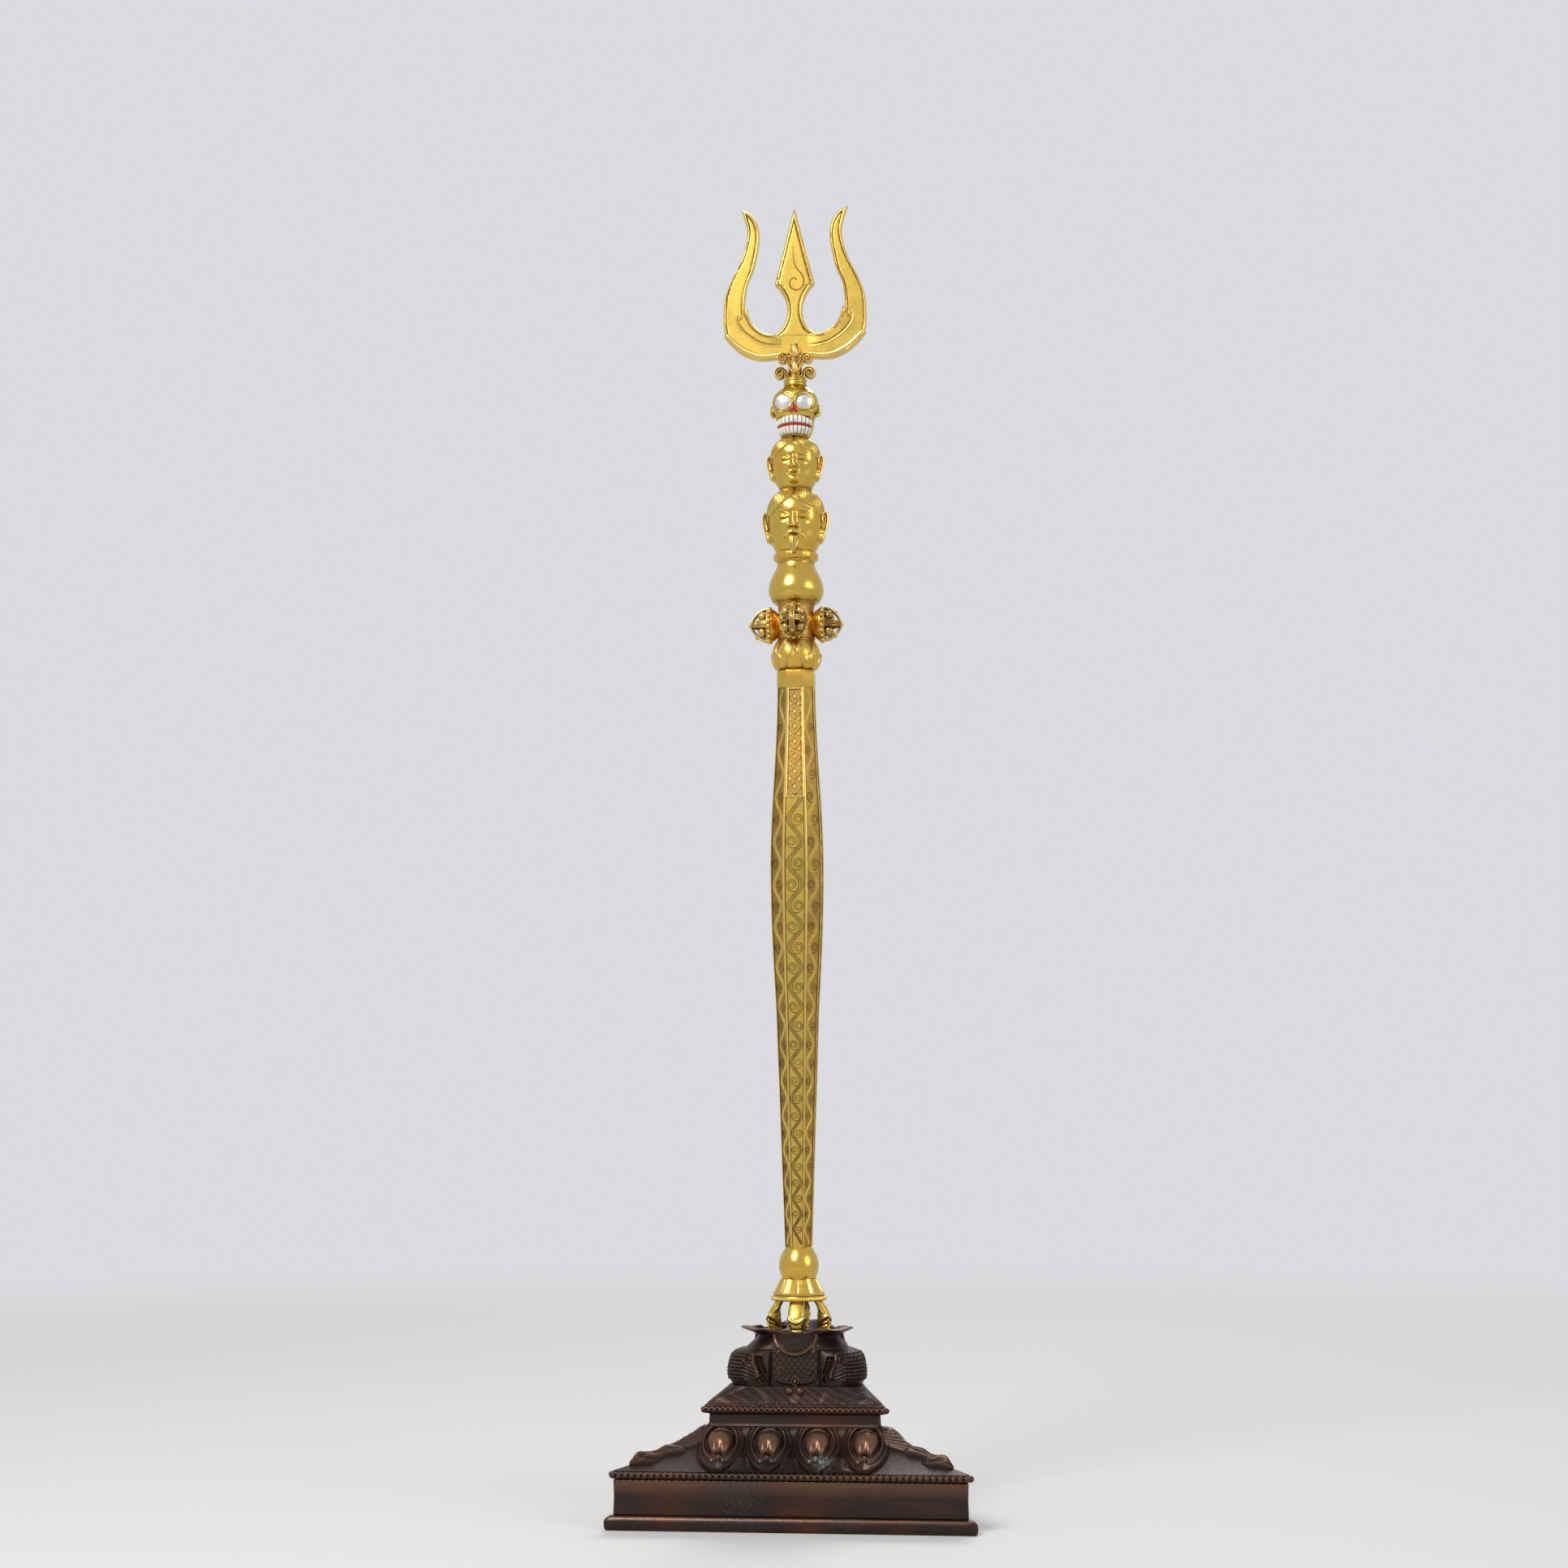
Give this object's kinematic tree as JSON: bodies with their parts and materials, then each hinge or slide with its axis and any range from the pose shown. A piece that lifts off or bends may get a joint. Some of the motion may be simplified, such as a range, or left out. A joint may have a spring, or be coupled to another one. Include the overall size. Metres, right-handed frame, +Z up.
{
  "type": "ritual staff with stand",
  "caption": "Gilt metal ritual staff with trident, skull, two heads, vase and crossed vajra, standing loose in a three-sided tiered bronze stand.",
  "frame": {"origin": "under the middle of the stand's foot seen from above, on the surface that it rests on; the staff's axis stands 23.4 mm in front of it, because the stand is a triangle", "axes": "+Z up along the staff; -Y towards the front, where the skull and the heads face and one flat side of the stand lies; +X to the right of someone who looks at the front"},
  "size_m": [0.1658, 0.144, 0.6218],
  "materials": {
    "bronze": "dark brown cast patina",
    "gilt_brass": "gilt, brown in the recesses",
    "silver": "polished silver inlay",
    "tooth_enamel": "white enamel",
    "red_enamel": "red enamel",
    "rod_steel": "plain"
  },
  "bodies": {
    "stand": {"foot_moulding": "bronze", "plinth_band": "bronze", "lower_bead_rim": "bronze", "lotus_tier": "bronze", "lotus_petals": "bronze", "ridge_leaves": "bronze", "waist_band": "bronze", "upper_bead_rim": "bronze", "wave_roof": "bronze", "socket_cup": "bronze", "socket_lip": "bronze", "scale_aprons": "bronze", "makara_heads": "bronze"},
    "staff": {"prong_front": "gilt_brass", "prong_right": "gilt_brass", "prong_back": "gilt_brass", "prong_left": "gilt_brass", "core_prong": "gilt_brass", "lotus_skirt": "gilt_brass", "foot_ball": "gilt_brass", "shaft": "gilt_brass", "shaft_collar": "gilt_brass", "lotus_cup": "gilt_brass", "vajra_hub": "gilt_brass", "bowl_front": "gilt_brass", "bowl_right": "gilt_brass", "bowl_back": "gilt_brass", "bowl_left": "gilt_brass", "cage_front": "gilt_brass", "cage_right": "gilt_brass", "cage_back": "gilt_brass", "cage_left": "gilt_brass", "vase": "gilt_brass", "lower_head": "gilt_brass", "upper_head": "gilt_brass", "skull": "gilt_brass", "skull_eyes": "silver", "skull_nose": "red_enamel", "upper_teeth": "tooth_enamel", "mouth_strip": "red_enamel", "lower_teeth": "tooth_enamel", "trident_socket": "gilt_brass", "trident": "gilt_brass", "tie_rod": "rod_steel"}
  },
  "joints": [
    {"name": "staff_lift", "type": "slide", "parent": "stand", "child": "staff", "axis": [0, 0, 1], "range_m": [0, 0.04]}
  ]
}
